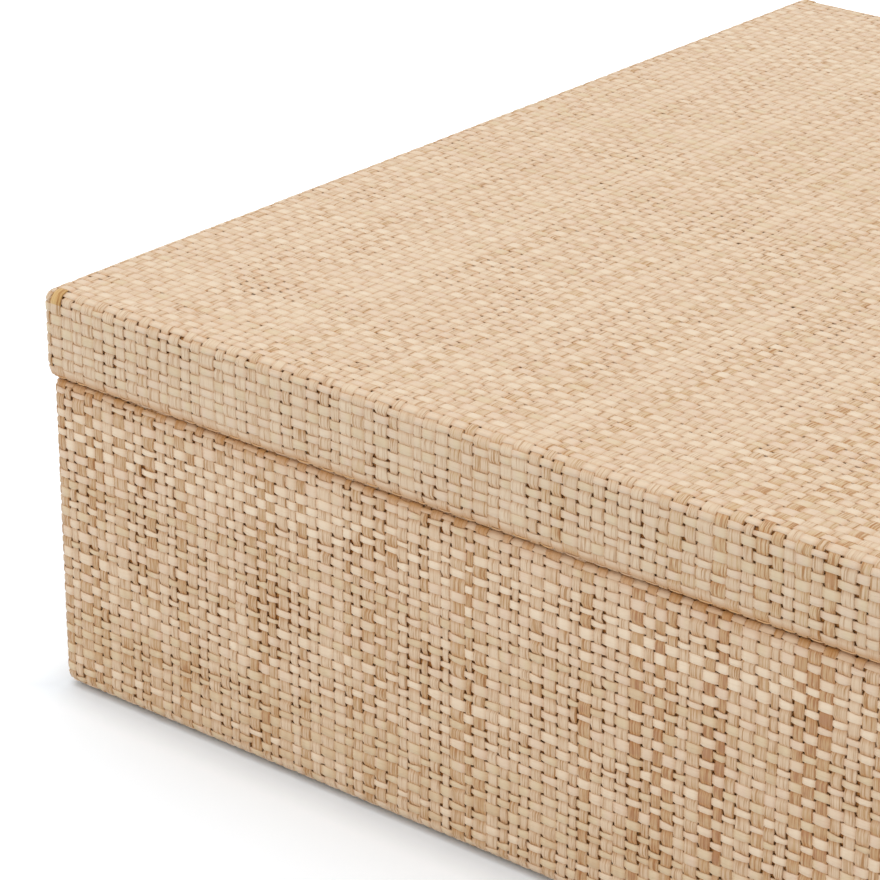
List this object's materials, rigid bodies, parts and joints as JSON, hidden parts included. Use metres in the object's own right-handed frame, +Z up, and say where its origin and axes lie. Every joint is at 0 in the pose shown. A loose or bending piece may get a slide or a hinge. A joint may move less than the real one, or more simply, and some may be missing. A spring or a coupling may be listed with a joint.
{
  "type": "lidded box",
  "caption": "Low rectangular keepsake box wrapped in woven raffia cloth, with a lift-off lid that seats over a lined inner collar.",
  "frame": {"origin": "middle of the felt underside, on the surface that the box stands on", "axes": "+Z up, -Y towards the front, +X to the right as seen from the front"},
  "size_m": [0.406, 0.305, 0.1016],
  "materials": {
    "raffia_cloth": "plain-woven natural raffia, satin strips in cream and honey tones",
    "fibreboard": "raw medium-density fibreboard",
    "lining_cloth": "fine plain-woven cotton over card",
    "felt": "pressed wool felt"
  },
  "bodies": {
    "base": {"base_front_board": "fibreboard", "base_back_board": "fibreboard", "base_left_board": "fibreboard", "base_right_board": "fibreboard", "base_floor_board": "fibreboard", "base_raffia_wrap": "raffia_cloth", "base_felt_pad": "felt", "base_front_lining": "lining_cloth", "base_back_lining": "lining_cloth", "base_left_lining": "lining_cloth", "base_right_lining": "lining_cloth", "base_floor_lining": "lining_cloth"},
    "lid": {"lid_top_board": "fibreboard", "lid_front_rail": "fibreboard", "lid_back_rail": "fibreboard", "lid_left_rail": "fibreboard", "lid_right_rail": "fibreboard", "lid_raffia_wrap": "raffia_cloth", "lid_top_lining": "lining_cloth"}
  },
  "joints": [
    {"name": "lid_lift", "type": "slide", "parent": "base", "child": "lid", "axis": [0, 0, 1], "range_m": [0, 0.12]}
  ]
}
